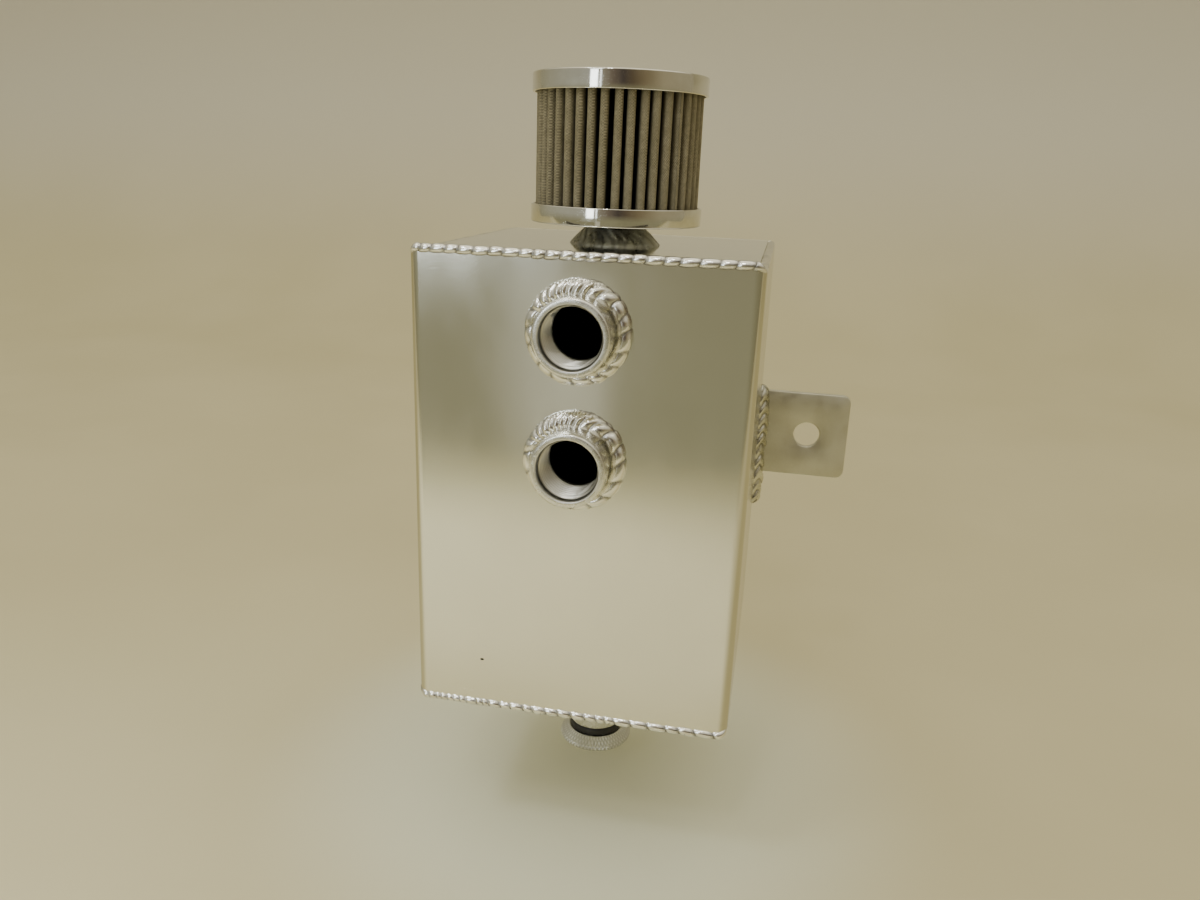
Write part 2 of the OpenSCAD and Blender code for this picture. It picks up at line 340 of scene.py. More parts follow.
def sheet_metal(name, color, rough, grain, wave, dull):
    """Aluminium sheet: cloudy polish, fine vertical grain, scratches and slow waves, with painted shade on
    the sides, on a small pit and inside the tank.
    """
    recipe = Recipe(name, 1.0)
    shaded_inside = inside_tank(recipe)
    cloud = recipe.noise(22, 4)
    smear = recipe.noise(12, 4, (1, 1, 2.2))
    streak = recipe.noise(0.35, 2, (1, 1, 60))
    marks = scratches(recipe, 1.0)
    shade = tuple(c * dull for c in color)
    tone = recipe.mix(recipe.remap(cloud, 0.3, 0.7), shade, color)
    tone = recipe.mix(recipe.math("MULTIPLY", marks, 0.12), tone, tuple(c * 0.75 for c in color))
    # Painted shade: the side walls and round corners are darker.
    tone = recipe.mix(beside_front(recipe), tone, tuple(c * d for c, d in zip(color, SIDE_SHADE)))
    # Painted shade: a small pit on the front wall is near black.
    tone = recipe.mix(speck(recipe), tone, (0.01, 0.01, 0.01))
    # Painted shade: the inside of the tank is dark grey (and duller).
    recipe.color(recipe.mix(shaded_inside, tone, (0.12, 0.117, 0.105)))
    patchy = recipe.remap(smear, 0.3, 0.75, rough * 0.88, rough * 1.22)
    worn = recipe.math("ADD", patchy, recipe.math("MULTIPLY", marks, 0.06))
    recipe.roughness(recipe.math("ADD", worn, recipe.math("MULTIPLY", shaded_inside, 0.45)))
    recipe.bump(recipe.noise(45, 1), wave)
    recipe.bump(streak, grain)
    return recipe.done()


def bead_material(name, color, rough, crease_shade, patchy=0.86):
    """Weld bead: bright domes, painted shade in the creases, a few dark pits."""
    recipe = Recipe(name, 1.0)
    crease = recipe.crease()
    speck = recipe.remap(recipe.noise(1.1, 2), 0.66, 0.72)
    shade_and_pits = recipe.math("MAXIMUM", recipe.math("MULTIPLY", crease, crease_shade), recipe.math("MULTIPLY", speck, 0.5))
    tone = recipe.mix(recipe.remap(recipe.noise(5, 3), 0.35, 0.65), tuple(c * patchy for c in color), color)
    # Painted shade in the creases, and a few dark pits, darken the bead here.
    recipe.color(recipe.mix(shade_and_pits, tone, (0.05, 0.042, 0.03)))
    base = recipe.remap(recipe.noise(2.5, 3), 0.3, 0.7, rough * 0.7, rough * 1.4)
    recipe.roughness(recipe.math("ADD", base, recipe.math("MULTIPLY", shade_and_pits, 0.3)))
    recipe.bump(recipe.noise(0.9, 3), 0.035)
    return recipe.done()


def turned_material(name, color, rough, ring, bore=0.0, bore_rough=0.0):
    """Lathe-turned metal round the piece's own Z, with fine tool rings, handling marks and painted shade in
    its grooves.

    Inside the radius bore the wall is duller by bore_rough.
    """
    recipe = Recipe(name, 1.0)
    x, y, z = recipe.axes()
    squares = recipe.math("ADD", recipe.math("MULTIPLY", x, x), recipe.math("MULTIPLY", y, y))
    radius = recipe.math("SQRT", squares)
    rings = recipe.node("ShaderNodeCombineXYZ", {0: radius, 1: 0.0, 2: z}).outputs[0]
    tool = recipe.noise(0.22, 2, place=rings)
    cloud = recipe.noise(6, 3)
    marks = scratches(recipe, 1.0)
    tone = recipe.mix(recipe.remap(cloud, 0.3, 0.7), tuple(c * 0.88 for c in color), color)
    # Painted shade from the crease value, in thread roots, knurl grooves and relief steps.
    tone = recipe.mix(recipe.math("MULTIPLY", recipe.crease(), 0.75), tone, (0.04, 0.036, 0.028))
    recipe.color(tone)
    uneven = recipe.remap(recipe.noise(3, 4), 0.3, 0.7, rough * 0.8, rough * 1.25)
    uneven = recipe.math("ADD", uneven, recipe.remap(radius, bore, bore + 0.4, bore_rough, 0.0))
    recipe.roughness(recipe.math("ADD", uneven, recipe.math("MULTIPLY", marks, 0.1)))
    recipe.bump(tool, ring)
    recipe.bump(marks, -0.004)
    return recipe.done()


def tab_material():
    """Dull mill-finish plate with rolling lines, stains and scuffs."""
    recipe = Recipe("mill_finish_plate", 1.0)
    roll = recipe.noise(0.5, 3, (40, 1, 1))
    stain = recipe.noise(8, 5, rough=0.6)
    marks = scratches(recipe, 1.0)
    tone = recipe.mix(recipe.remap(stain, 0.3, 0.7), (0.57, 0.55, 0.45), (0.68, 0.665, 0.56))
    recipe.color(recipe.mix(recipe.math("MULTIPLY", marks, 0.3), tone, (0.75, 0.74, 0.68)))
    recipe.roughness(recipe.remap(recipe.noise(4, 4), 0.3, 0.7, 0.42, 0.56))
    recipe.bump(roll, 0.008)
    recipe.bump(marks, -0.01)
    return recipe.done()


def chrome_material():
    """Bright pressed steel with faint drawing lines and finger smears."""
    recipe = Recipe("bright_pressed_steel", 1.0)
    cloud = recipe.noise(7, 4)
    marks = scratches(recipe, 1.0)
    tone = recipe.mix(recipe.remap(cloud, 0.3, 0.7), (0.70, 0.68, 0.60), (0.78, 0.77, 0.70))
    recipe.color(tone)
    smear = recipe.remap(recipe.noise(6, 5, rough=0.6), 0.35, 0.75, 0.05, 0.11)
    recipe.roughness(recipe.math("ADD", smear, recipe.math("MULTIPLY", marks, 0.12)))
    recipe.bump(recipe.noise(0.25, 2, (60, 60, 1)), 0.0012)
    recipe.bump(recipe.noise(8, 1), 0.03)
    recipe.bump(marks, -0.003)
    return recipe.done()


def media_material(fold_out):
    """Tan gauze under woven wire, with painted shade deep in the folds."""
    recipe = Recipe("wire_mesh_media", 0.0)
    wire_gap = 0.8
    x, y, z = recipe.axes()
    y_axis = recipe.math("SUBTRACT", y, AXIS_Y)
    squares = recipe.math("ADD", recipe.math("MULTIPLY", x, x), recipe.math("MULTIPLY", y_axis, y_axis))
    radius = recipe.math("SQRT", squares)
    angle = recipe.math("ARCTAN2", y_axis, x)
    across = recipe.math("ADD", recipe.math("MULTIPLY", angle, fold_out), radius)
    weft = recipe.math("SINE", recipe.math("MULTIPLY", z, TAU / wire_gap))
    warp = recipe.math("SINE", recipe.math("MULTIPLY", across, TAU / wire_gap))
    weave = recipe.math("MULTIPLY", recipe.math("ADD", recipe.math("MULTIPLY", weft, warp), 1.0), 0.5)
    stain = recipe.noise(4, 5, rough=0.65)
    tone = recipe.mix(recipe.remap(stain, 0.3, 0.7), (0.36, 0.32, 0.20), (0.50, 0.45, 0.305))
    tone = recipe.mix(recipe.math("MULTIPLY", weave, 0.75), tone, (0.085, 0.07, 0.042))
    grain = recipe.remap(recipe.noise(0.55, 2, rough=0.7), 0.35, 0.65, 0.45, 0.0)
    tone = recipe.mix(grain, tone, (0.10, 0.085, 0.05))
    # Painted shade: near black deep in the folds.
    depth = recipe.remap(radius, fold_out - 2.8, fold_out - 0.5, 1.0, 0.0)
    recipe.color(recipe.mix(depth, tone, (0.012, 0.012, 0.014)))
    recipe.roughness(recipe.remap(stain, 0.3, 0.7, 0.55, 0.75))
    recipe.bump(weave, 0.10)
    recipe.shader.inputs["Specular IOR Level"].default_value = 0.25
    return recipe.done()


def rubber_material(name, color):
    recipe = Recipe(name, 0.0)
    dust = recipe.remap(recipe.noise(1.5, 4, rough=0.7), 0.55, 0.8)
    recipe.color(recipe.mix(recipe.math("MULTIPLY", dust, 0.35), color, (0.06, 0.058, 0.05)))
    recipe.roughness(recipe.remap(recipe.noise(2, 3), 0.3, 0.7, 0.42, 0.62))
    recipe.bump(recipe.noise(0.3, 3), 0.02)
    return recipe.done()


def paper_material():
    """Slightly uneven pale paper with soft stains and a fine tooth, with painted light in front of and under
    the tank and painted shade far in front.
    """
    recipe = Recipe("pale_paper", 0.0)
    patch = recipe.remap(recipe.noise(160, 3), 0.3, 0.7)
    tone = recipe.mix(patch, (0.62, 0.56, 0.345), (0.65, 0.59, 0.37))
    x, y, z = recipe.axes()
    # Painted light: paler in front of the tank.
    tone = recipe.mix(recipe.remap(y, FRONT - 130, FRONT - 40), (0.73, 0.68, 0.48), tone)
    # Painted light: a paler patch on the floor under the tank.
    back = recipe.math("SUBTRACT", y, AXIS_Y)
    squares = recipe.math("ADD", recipe.math("MULTIPLY", x, x), recipe.math("MULTIPLY", back, back))
    under = recipe.remap(recipe.math("SQRT", squares), 60, 135, 1.0, 0.0)
    tone = recipe.mix(under, tone, (0.74, 0.735, 0.555))
    tone = recipe.mix(recipe.remap(z, FLOOR + 20, FLOOR + 320), tone, (0.70, 0.67, 0.55))
    # Painted shade: much darker far in front of the tank.
    recipe.color(recipe.mix(recipe.remap(y, FRONT - 390, FRONT - 250), (0.36, 0.33, 0.19), tone))
    recipe.roughness(recipe.remap(recipe.noise(20, 3), 0.3, 0.7, 0.82, 0.92))
    recipe.bump(recipe.noise(0.8, 3), 0.02)
    recipe.bump(recipe.noise(120, 2), 1.2)
    return recipe.done()


TANK_METAL = sheet_metal("polished_tank_sheet", (0.86, 0.855, 0.78), 0.125, 0.0004, 0.03, 0.97)
PLATE_METAL = sheet_metal("bright_end_plate", (0.84, 0.84, 0.78), 0.10, 0.0003, 0.02, 0.96)
BEAD = bead_material("bright_weld_bead", (0.94, 0.93, 0.87), 0.15, 0.95)
# A darker grey copy of the bright bead: painted shade on the breather weld under the filter cap.
SHADED_BEAD = bead_material("shaded_weld_bead", (0.44, 0.445, 0.42), 0.34, 0.5, 0.5)
TAB_BEAD = bead_material("dull_weld_bead", (0.72, 0.71, 0.60), 0.24, 0.7, 0.75)
PORT_METAL = turned_material("turned_port_bung", (0.86, 0.855, 0.80), 0.24, 0.006, 9.2, 0.12)
NECK_METAL = turned_material("turned_neck", (0.82, 0.81, 0.74), 0.28, 0.006)
PLUG_METAL = turned_material("knurled_plug", (0.78, 0.78, 0.73), 0.42, 0.004)
STEEL = turned_material("plain_steel", (0.55, 0.55, 0.52), 0.3, 0.006)
TAB_METAL = tab_material()
CHROME = chrome_material()
RUBBER = rubber_material("black_rubber", (0.012, 0.012, 0.012))
POTTING = rubber_material("potting_compound", (0.02, 0.02, 0.018))

# ---------------------------------------------------------------- weld beads


def bead_section(angle, leg, straight):
    """Distance from the joint's root to the bead's surface; straight = 1 gives a flat flank."""
    lean = math.cos(angle) + math.sin(angle)
    return leg / max(lean, 1.0) ** straight


def seam_bead(name, node, seed, up):
    """The bead round an end plate: a rope that stands proud along the front edge.

    Its section is measured from that edge: outwards, and up or down away from the plate.
    The rope sinks flush along the sides and the rear, where the tank is mounted, and a
    flat band of sheet joins it to the wall.
    """
    valley_r, relief = (1.08, 0.38) if up else (1.16, 0.44)
    proud_in, proud_up = 0.72, 0.25 if up else 0.38
    flush = valley_r + relief
    toe = Box(node).size.z + 0.2
    edge_z = TOP if up else BOTTOM
    away = 1 if up else -1
    half = SIDE - CORNER_R
    straight = 2 * half
    quarter = CORNER_R * math.pi / 2
    length = 4 * (straight + quarter)

    def pitch(share):
        along_front = max(0.0, share * 4 - 3)
        return 3.8 + 1.0 * along_front if up else 2.4 + 2.6 * along_front

    ripples = Ripples(seed, length, pitch, closed=True, jitter=0.18 if up else 0.38, flat=0.5)

    def path(s):
        side, along = divmod(s % length, straight + quarter)
        if along < straight:
            point, outward = Vector((half + CORNER_R, -half + along)), 0.0
        else:
            outward = (along - straight) / CORNER_R
            point = Vector((half, half)) + CORNER_R * Vector((math.cos(outward), math.sin(outward)))
        turn = Matrix.Rotation(side * math.pi / 2, 2)
        heading = outward + side * math.pi / 2
        return turn @ point, Vector((math.cos(heading), math.sin(heading)))

    arc_steps = 15
    arc_lo, arc_hi = math.radians(-58), math.radians(190)
    # Painted shade: the crease value below darkens the ripple valleys and the rope's far edge, and on the
    # top bead also its lower side.
    toe_shade_from = math.radians(70)
    face_shade_to = math.radians(-22 if up else -90)
    band_in, band_out, band_lo = -0.6, 0.004, -toe - 0.4
    count = int(length / 0.3)
    rows, creases, band_rows = [], [], []

    def placed(point, out, reach, rise):
        flat = point + out * reach
        return flat.x, AXIS_Y + flat.y, edge_z + away * rise

    for i in range(count):
        s = length * i / count
        point, out = path(s)
        proud = max(0.0, -out.y) ** 1.5
        rope_in = proud_in * proud + flush * (1 - proud)
        rope_up = proud_up * proud - flush * (1 - proud)
        foot = rope_up - flush * 0.85 - 0.15
        section = [(-toe * 0.75, -toe * 0.75, 0), (-0.5, foot, 0)]
        for j in range(arc_steps):
            a = arc_lo + (arc_hi - arc_lo) * j / (arc_steps - 1)
            bow = 0.8 * (1 - math.cos(a - math.pi / 4))
            dome, size, shift = ripples.at(s + bow)
            r = valley_r + relief * dome * (0.45 + 0.55 * size)
            sway = 0.1 * shift * dome
            reach = -rope_in + r * math.cos(a) + sway
            edge_shade = max((a - toe_shade_from) * 2.2, (face_shade_to - a) * 1.5) * proud
            crease_shade = max(0.0, 1.25 - dome * 1.6, edge_shade)
            section.append((reach, rope_up + r * math.sin(a) - sway, min(crease_shade, 1)))
        section += [(-toe * 0.95, 0.05, 0), (-toe, -0.02, 0)]
        rows.append([placed(point, out, reach, rise) for reach, rise, _ in section])
        creases.append([crease for _, _, crease in section])
        band_hi = -0.5 * proud - flush * (1 - proud)
        corners = ((band_in, band_lo), (band_out, band_lo), (band_out, band_hi), (band_in, band_hi))
        band_rows.append([placed(point, out, reach, rise) for reach, rise in corners])
    shape = Shape()
    shape.grid(rows, wrap_rows=True, wrap_cols=True, creases=creases)
    shape.build(name, BEAD, "tank", [node], sharp=75)
    band = Shape()
    band.grid(band_rows, wrap_rows=True, wrap_cols=True)
    band.build(name + "_edge", TANK_METAL, "tank", [node], sharp=30)


def rope_section(angle, leg):
    """Radius of a section that is a low rope with a groove between it and the tube."""
    along, rise, rope_r = 0.49 * leg, 0.27 * leg, 0.5 * leg
    near = along * math.cos(angle) + rise * math.sin(angle)
    chord = max(near * near - along * along - rise * rise + rope_r * rope_r, 0)
    return max(near + math.sqrt(chord), 0.34 * leg)


def ring_bead(name, node, material, place, root_r, leg, section, pitch, slant, relief, seed):
    """A bead round a tube that stands on a plate at z = 0 of its own frame.

    section(share, angle) is its radius from the root; pitch(share), slant(share) and
    relief(share) give the ripples' length, lean and depth round the ring.
    """
    origin, turn = place
    length = TAU * (root_r + leg / 2)
    ripples = Ripples(seed, length, pitch, closed=True, jitter=0.28)
    sweep_lo, sweep_hi = math.radians(-14), math.radians(104)
    across = 14
    foot_r, foot_z = root_r - 0.6, -0.8
    count = int(length / 0.26)
    rows, creases = [], []
    for i in range(count):
        a = TAU * i / count
        row = [(foot_r * math.cos(a), foot_r * math.sin(a), foot_z)]
        crease = [0.0]
        for j in range(across):
            lift = sweep_lo + (sweep_hi - sweep_lo) * j / (across - 1)
            middle = lift - math.pi / 4
            bow = slant(i / count) * leg * middle - 0.3 * leg * math.cos(2 * middle)
            dome, size, shift = ripples.at(length * i / count + bow)
            r = section(i / count, min(max(lift, 0), math.pi / 2))
            weight = 0.3 + 0.7 * max(0.0, math.cos(2 * middle))
            r *= 1 - relief(i / count) * weight * (1 - dome * (0.35 + 0.65 * size)) + 0.03 * shift
            flat = root_r + r * math.cos(lift)
            row.append((flat * math.cos(a), flat * math.sin(a), r * math.sin(lift)))
            # Painted shade in the ripple valleys.
            crease.append(max(0.0, 1 - dome * 1.5) * weight)
        rows.append(row)
        creases.append(crease)
    shape = Shape()
    shape.grid(rows, wrap_rows=True, wrap_cols=True, creases=creases)
    return shape.build(name, material, "tank", [node], origin, turn, sharp=75)


def tab_bead(name, node, seed, side):
    """The uneven bead between a side wall and the front of its tab."""
    weld = Box(node)
    reach_x = weld.size.x + 0.9
    reach_y = weld.size.y + 2.0
    bottom, length = weld.lo.z - 0.4, weld.size.z + 0.8
    root_y = weld.hi.y
    ripples = Ripples(seed, length, lambda share: 4.3, closed=False, jitter=0.4)
    rng = random.Random(seed)
    wander = [rng.uniform(-0.25, 0.25) for _ in range(12)]
    sweep_lo, sweep_hi = -12, 102
    across = 14
    count = int(length / 0.3)
    rows, creases = [], []
    for i in range(count + 1):
        s = length * i / count
        end = min(s, length - s)
        taper = math.sqrt(max(0.0, 1 - max(0.0, 1 - end / 4.5) ** 2))
        spot = s / length * (len(wander) - 1)
        k = min(int(spot), len(wander) - 2)
        drift = wander[k] + (wander[k + 1] - wander[k]) * (spot - k)
        row = [(side * (SIDE - 0.8), root_y + 0.6, bottom + s)]
        crease = [0.0]
        for j in range(across):
            lift = math.radians(sweep_lo + (sweep_hi - sweep_lo) * j / (across - 1))
            dome, size, shift = ripples.at(s - 2.4 * math.sin(2 * lift))
            r = bead_section(min(max(lift, 0), math.pi / 2), 1.0, 0.3) * taper
            r *= 0.76 + 0.27 * dome * size + 0.06 * shift + 0.2 * drift
            x = side * (SIDE + reach_x * r * math.cos(lift))
            row.append((x, root_y - reach_y * r * math.sin(lift), bottom + s))
            # Painted shade in the ripple valleys.
            crease.append(max(0.0, 1 - dome * 1.8))
        rows.append(row)
        creases.append(crease)
    shape = Shape()
    shape.grid(rows, wrap_cols=True, creases=creases)
    shape.cap(0, across + 1, flip=True)
    shape.cap(count * (across + 1), across + 1)
    if side < 0:
        shape.faces = [face[::-1] for face in shape.faces]
    return shape.build(name, TAB_BEAD, "tank", [node], sharp=75)


# ---------------------------------------------------------------- turned pieces

OUT_OF_FRONT = Vector((0, -1, 0)).to_track_quat("Z", "Y")
DOWN = Vector((0, 0, -1)).to_track_quat("Z", "Y")


def refined(points, low, high, inner, outer, step):
    """Adds points to a closed profile where it runs along a thread's wall, step apart at most."""
    out = []
    for k, here in enumerate(points):
        ahead = points[(k + 1) % len(points)]
        on_wall = all(inner <= p.x <= outer and low <= p.y <= high for p in (here, ahead))
        parts = max(1, math.ceil((ahead - here).length / step)) if on_wall else 1
        out.extend(here.lerp(ahead, j / parts) for j in range(parts))
    return out


def threaded(low, high, inner, outer, depth, hand=1):
    """Moves points of a threaded wall between two heights; depth < 0 cuts inwards."""

    def change(angle, r, z):
        if not (inner <= r <= outer and low <= z <= high):
            return 0, 0
        fade = min(1.0, (z - low) / THREAD_PITCH, (high - z) / THREAD_PITCH)
        ridge = min(max(1.35 * saw(z / THREAD_PITCH - hand * angle / TAU) - 0.17, 0), 1)
        # The second value is painted shade in the thread's roots.
        return depth * ridge * fade, (ridge if depth > 0 else 1 - ridge) * 0.6 * fade

    return change


def port_bung(name, node, weld_node):
    """A turned bung with a flared mouth, a relief step and a real internal thread."""
    box = Box(node)
    origin = Vector((box.mid.x, FRONT, box.mid.z))
    outer = box.size.x / 2
    reach = FRONT - box.lo.y
    bore = outer - 2.7
    profile = rounded(
        [
            (bore, -WALL, 0.2),
            (outer, -WALL, 0.2),
            (outer, reach - 3.2, 0),
            (outer, reach, 0.7),
            (bore + 0.95, reach, 0.25),
            (bore + 0.6, reach - 0.8, 0.1),
            (bore + 0.6, reach - 2.2, 0.1),
            (bore, reach - 2.6, 0.1),
        ]
    )
    low, high = -WALL + 0.4, reach - 2.5
    profile = refined(profile, low - 0.5, high + 0.2, bore - 0.3, bore + 0.25, THREAD_PITCH / 10)
    shape = Shape()
    cut = threaded(low, high, bore - 0.3, bore + 0.28, 0.9)

    def change(angle, r, z):
        # The relief step gets painted shade.
        in_relief = bore + 0.5 < r < bore + 0.7 and reach - 2.3 < z < reach - 0.7
        return (0, 0.9) if in_relief else cut(angle, r, z)

    lathe(shape, profile, 120, change)
    shape.build(name, PORT_METAL, "tank", [node], origin, OUT_OF_FRONT, sharp=40)

    def fine(share):
        """1 at the upper left, as seen from the front, where the ripples are a fine rope."""
        return max(0.0, 1 - abs(share - 0.27) / 0.16) ** 0.3

    def pitch(share):
        return 4.8 - 2.9 * fine(share)

    def slant(share):
        return 0.45 - 1.35 * fine(share)

    def relief(share):
        smooth = max(0.0, 1 - abs(share - 0.57) / 0.13) ** 0.4
        return 0.13 + 0.1 * fine(share) - 0.1 * smooth

    leg = (Box(weld_node).size.x - box.size.x) / 2

    def section(share, angle):
        full = 0.75 * fine(share)
        return (1 - full) * rope_section(angle, leg) + full * bead_section(angle, leg, 0.1)

    seed = round(box.mid.z)
    place = (origin, OUT_OF_FRONT)
    ring_bead(name + "_weld", weld_node, BEAD, place, outer, leg, section, pitch, slant, relief, seed)


def breather_seat():
    """The short bung on the top plate with its dark sloping weld."""
    box = Box("breather_bung")
    outer = box.size.x / 2
    reach = box.hi.z - TOP
    bore = 6.05
    origin = Vector((box.mid.x, box.mid.y, TOP))
    profile = rounded(
        [
            (bore, -WALL, 0.1),
            (outer, -WALL, 0.1),
            (outer, reach, 0.35),
            (bore, reach, 0.3),
        ]
    )
    profile = refined(profile, -WALL, reach, bore - 0.1, bore + 0.1, THREAD_STEP)
    shape = Shape()
    lathe(shape, profile, 96, threaded(-WALL + 0.4, reach - 0.3, bore - 0.1, bore + 0.1, 0.35))
    shape.build("breather_seat", NECK_METAL, "tank", ["breather_bung"], origin, None, 40)
    node = "breather_bung_weld"
    leg = (Box(node).size.x - box.size.x) / 2 + 0.9

    def section(share, angle):
        return bead_section(angle, leg, 0.85)

    lumps = (lambda share: 3.4, lambda share: 0.5, lambda share: 0.07)
    ring_bead("breather_weld", node, SHADED_BEAD, (origin, None), outer, leg, section, *lumps, 5)


def drain_outlet():
    """The long neck under the tank, with an internal thread at its end."""
    box = Box("drain_neck")
    outer = box.size.x / 2
    reach = BOTTOM - box.lo.z
    bore = 7.05
    thread_foot = reach - 14
    origin = Vector((box.mid.x, box.mid.y, BOTTOM))
    profile = rounded(
        [
            (bore, -WALL, 0.2),
            (outer, -WALL, 0.2),
            (outer, reach, 0.4),
            (bore, reach, 0.3),
        ]
    )
    split = []
    for k, here in enumerate(profile):
        ahead = profile[(k + 1) % len(profile)]
        split.append(here)
        if abs(here.x - bore) < 0.5 and abs(ahead.x - bore) < 0.5 and (here - ahead).length > 15:
            split.append(Vector((bore, thread_foot)))
    profile = refined(split, thread_foot, reach, bore - 0.1, bore + 0.1, THREAD_STEP)
    shape = Shape()
    lathe(shape, profile, 96, threaded(thread_foot, reach - 0.4, bore - 0.1, bore + 0.1, 0.4))
    shape.build("drain_outlet", NECK_METAL, "tank", ["drain_neck"], origin, DOWN, 40)
    node = "drain_neck_weld"
    leg = (Box(node).size.x - box.size.x) / 2

    def section(share, angle):
        return bead_section(angle, leg, 0.3)

    lumps = (lambda share: 3.0, lambda share: 0.5, lambda share: 0.2)
    ring_bead("drain_outlet_weld", node, BEAD, (origin, DOWN), outer, leg, section, *lumps, 9)


def drain_plug():
    """A knurled head with a threaded shank that stands up inside the neck."""
    box = Box("drain_plug")
    seal = Box("drain_seal")
    head = box.size.x / 2
    knob_h = seal.lo.z - box.lo.z
    tip = box.hi.z - seal.lo.z
    shank = 7.0
    origin = Vector((box.mid.x, box.mid.y, seal.lo.z))
    shoulder = 2.2
    collar_r = seal.size.x / 2 + 0.2
    collar_h = 0.7
    knurl_lo = -knob_h + 0.4
    profile = rounded(
        [
            (0.0, -knob_h + 0.5, 0),
            (head * 0.45, -knob_h + 0.5, 0.2),
            (head * 0.5, -knob_h, 0.2),
            (head - 0.4, -knob_h, 0.1),
            (head, knurl_lo, 0),
            (head, -shoulder, 1.0),
            (collar_r, collar_h, 0.25),
            (collar_r, 0, 0.1),
            (shank, 0, 0),
            (shank, tip, 0.9),
            (0.0, tip, 0),
        ]
    )
    profile = refined(profile, knurl_lo - 0.01, collar_h, collar_r, head + 0.1, 0.17)
    profile = refined(profile, 0, tip - 0.5, shank - 0.1, shank + 0.1, THREAD_STEP)
    teeth = 60
    slope = teeth / (TAU * head)
    cut = threaded(Box("drain_seal").size.z, tip - 0.4, shank - 0.1, shank + 0.1, -0.55)

    def change(angle, r, z):
        if r > collar_r and knurl_lo - 0.01 <= z <= collar_h:
            left = saw(angle / TAU * teeth + z * slope * 0.7)
            right = saw(angle / TAU * teeth - z * slope * 0.7)
            groove = 1 - min(left, right) ** 0.8
            fade = min(1.0, (r - collar_r) / 0.5)
            # The second value is painted shade in the knurl grooves.
            return -0.4 * groove * fade, 0.6 * groove**2 * fade
        return cut(angle, r, z)

    shape = Shape()
    lathe(shape, profile, teeth * 8, change)
    shape.build("knurled_plug", PLUG_METAL, "plug", ["drain_plug"], origin, None, 40)


def drain_seal():
    box = Box("drain_seal")
    outer = box.size.x / 2
    height = box.size.z
    bore = 7.3
    profile = rounded(
        [
            (bore, 0, 0.4),
            (outer, 0, 1.2),
            (outer, height, 1.2),
            (bore, height, 0.4),
        ],
        6,
    )
    shape = Shape()
    lathe(shape, profile, 96)
    origin = Vector((box.mid.x, box.mid.y, box.lo.z))
    shape.build("rubber_seal", RUBBER, "plug_seal", ["drain_seal"], origin, None, 40)


def filter_stem():
    """The filter's hollow threaded stem with its flange."""
    box = Box("filter_stem")
    flange = box.size.x / 2
    foot = box.size.z
    shank, bore = 6.0, 4.0
    flange_h = 1.5
    origin = Vector((box.mid.x, box.mid.y, box.lo.z))
    profile = rounded(
        [
            (bore, 0, 0.3),
            (shank, 0, 0.6),
            (shank, foot - flange_h, 0),
            (flange, foot - flange_h, 0.1),
            (flange, foot, 0.3),
            (bore, foot, 0.2),
        ]
    )
    profile = refined(profile, 0.3, foot - flange_h, shank - 0.1, shank + 0.1, THREAD_STEP)
    cut = threaded(0.6, foot - flange_h - 1.2, shank - 0.1, shank + 0.1, -0.5)
    shape = Shape()
    lathe(shape, profile, 96, cut)
    shape.build("stem", STEEL, "breather_filter", ["filter_stem"], origin, None, 40)


def filter_cap(name, node, top):
    """A pressed dish with rounded edges; the top one has a shallow raised panel."""
    box = Box(node)
    outer = box.size.x / 2
    rim = box.size.z
    sheet, wall = 1.0, 0.8
    hole = 0.0 if top else 6.0
    panel = outer * 0.62
    corners = [(hole, 0, 0)]
    if top:
        corners += [(panel, 0, 0.8), (panel + 1.2, 0.5, 0.8), (outer - 3.4, 0.5, 0.6), (outer - 2.6, 0, 0.6)]
    corners += [
        (outer, 0, 0.45),
        (outer, rim, 0.28),
        (outer - wall, rim, 0.2),
        (outer - wall, sheet, 0.3),
        (hole, sheet, 0),
    ]
    if top:
        corners[-2:] = [(outer - wall, sheet + 0.6, 0.3), (hole, sheet + 0.6, 0)]
    profile = rounded(corners, 5)
    shape = Shape()
    lathe(shape, profile, 144)
    origin = Vector((box.mid.x, box.mid.y, box.hi.z if top else box.lo.z))
    turn = DOWN if top else None
    shape.build(name, CHROME, "breather_filter", [node], origin, turn, 45)


